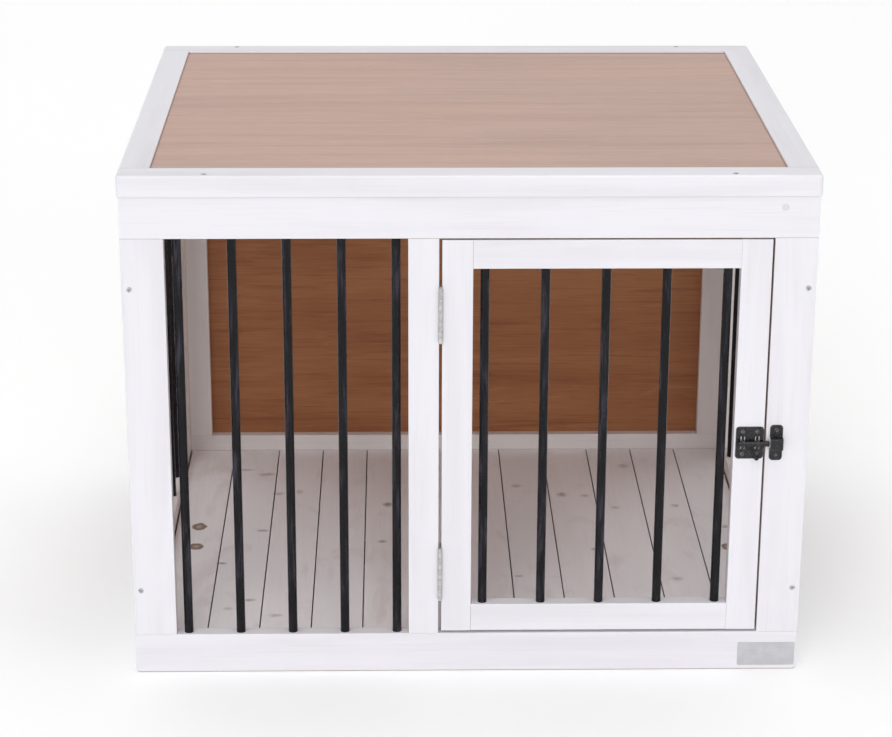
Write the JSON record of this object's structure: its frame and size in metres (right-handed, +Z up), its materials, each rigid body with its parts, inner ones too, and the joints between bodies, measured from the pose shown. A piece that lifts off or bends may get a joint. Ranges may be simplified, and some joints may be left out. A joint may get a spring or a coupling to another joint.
{
  "type": "dog crate",
  "caption": "Furniture-style dog crate: white timber frames with round black bars, plank floor, recessed veneer top and a side-hinged barred door with a sliding bolt.",
  "frame": {"origin": "on the ground, under the centre of the crate's bounding box", "axes": "+X to the right along the front, +Y from the front to the back, +Z up; the door faces -Y"},
  "size_m": [0.904, 0.7626, 0.7],
  "materials": {
    "white_paint": "satin white paint on planed pine",
    "floor_wood": "thin white wash on knotty pine, with the grain showing",
    "lid_veneer": "matt pinkish beige wood veneer, grain along X",
    "back_plywood": "matt reddish brown plywood, grain along X",
    "bar_paint": "semi-gloss black powder coat, slightly uneven",
    "hinge_steel": "zinc plated",
    "screw_steel": "dull zinc",
    "latch_paint": "black hammered paint on pressed steel",
    "label_plate": "matt grey, blank"
  },
  "bodies": {
    "crate": {"front_bottom_rail": "white_paint", "front_top_rail": "white_paint", "front_post_left": "white_paint", "front_post_middle": "white_paint", "front_post_right": "white_paint", "side_left_bottom_rail": "white_paint", "side_left_top_rail": "white_paint", "side_left_front_stile": "white_paint", "side_left_back_stile": "white_paint", "side_right_bottom_rail": "white_paint", "side_right_top_rail": "white_paint", "side_right_front_stile": "white_paint", "side_right_back_stile": "white_paint", "back_bottom_rail": "white_paint", "back_top_rail": "white_paint", "back_stile_left": "white_paint", "back_stile_right": "white_paint", "lid_front_rail": "white_paint", "lid_back_rail": "white_paint", "lid_left_rail": "white_paint", "lid_right_rail": "white_paint", "floor_board_01": "floor_wood", "floor_board_02": "floor_wood", "floor_board_03": "floor_wood", "floor_board_04": "floor_wood", "floor_board_05": "floor_wood", "floor_board_06": "floor_wood", "floor_board_07": "floor_wood", "floor_board_08": "floor_wood", "floor_board_09": "floor_wood", "floor_board_10": "floor_wood", "floor_board_11": "floor_wood", "floor_board_12": "floor_wood", "floor_battens": "floor_wood", "lid_panel": "lid_veneer", "back_panel": "back_plywood", "front_bars": "bar_paint", "side_left_bars": "bar_paint", "side_right_bars": "bar_paint", "hinge_lower_post_leaf": "hinge_steel", "hinge_upper_post_leaf": "hinge_steel", "hinge_pins": "hinge_steel", "hinge_screws_post": "hinge_steel", "frame_screws": "screw_steel", "latch_keeper": "latch_paint", "keeper_screws": "latch_paint", "name_plate": "label_plate"},
    "door": {"door_hinge_stile": "white_paint", "door_latch_stile": "white_paint", "door_top_rail": "white_paint", "door_bottom_rail": "white_paint", "door_bars": "bar_paint", "hinge_lower_door_leaf": "hinge_steel", "hinge_upper_door_leaf": "hinge_steel", "hinge_screws_door": "hinge_steel", "latch_plate": "latch_paint", "latch_screws": "latch_paint"},
    "bolt": {"latch_bolt": "latch_paint"},
    "handle": {"latch_handle": "latch_paint"}
  },
  "joints": [
    {"name": "door_swing", "type": "hinge", "parent": "crate", "child": "door", "pos_m": [-0.0375, -0.3735, 0.333], "axis": [0, 0, -1], "range_deg": [0, 170]},
    {"name": "bolt_slide", "type": "slide", "parent": "door", "child": "bolt", "axis": [1, 0, 0], "range_m": [-0.005, 0.0055]},
    {"name": "handle_turn", "type": "hinge", "parent": "bolt", "child": "handle", "pos_m": [0.3721, -0.37595, 0.333], "axis": [-1, 0, 0], "range_deg": [0, 175]}
  ]
}
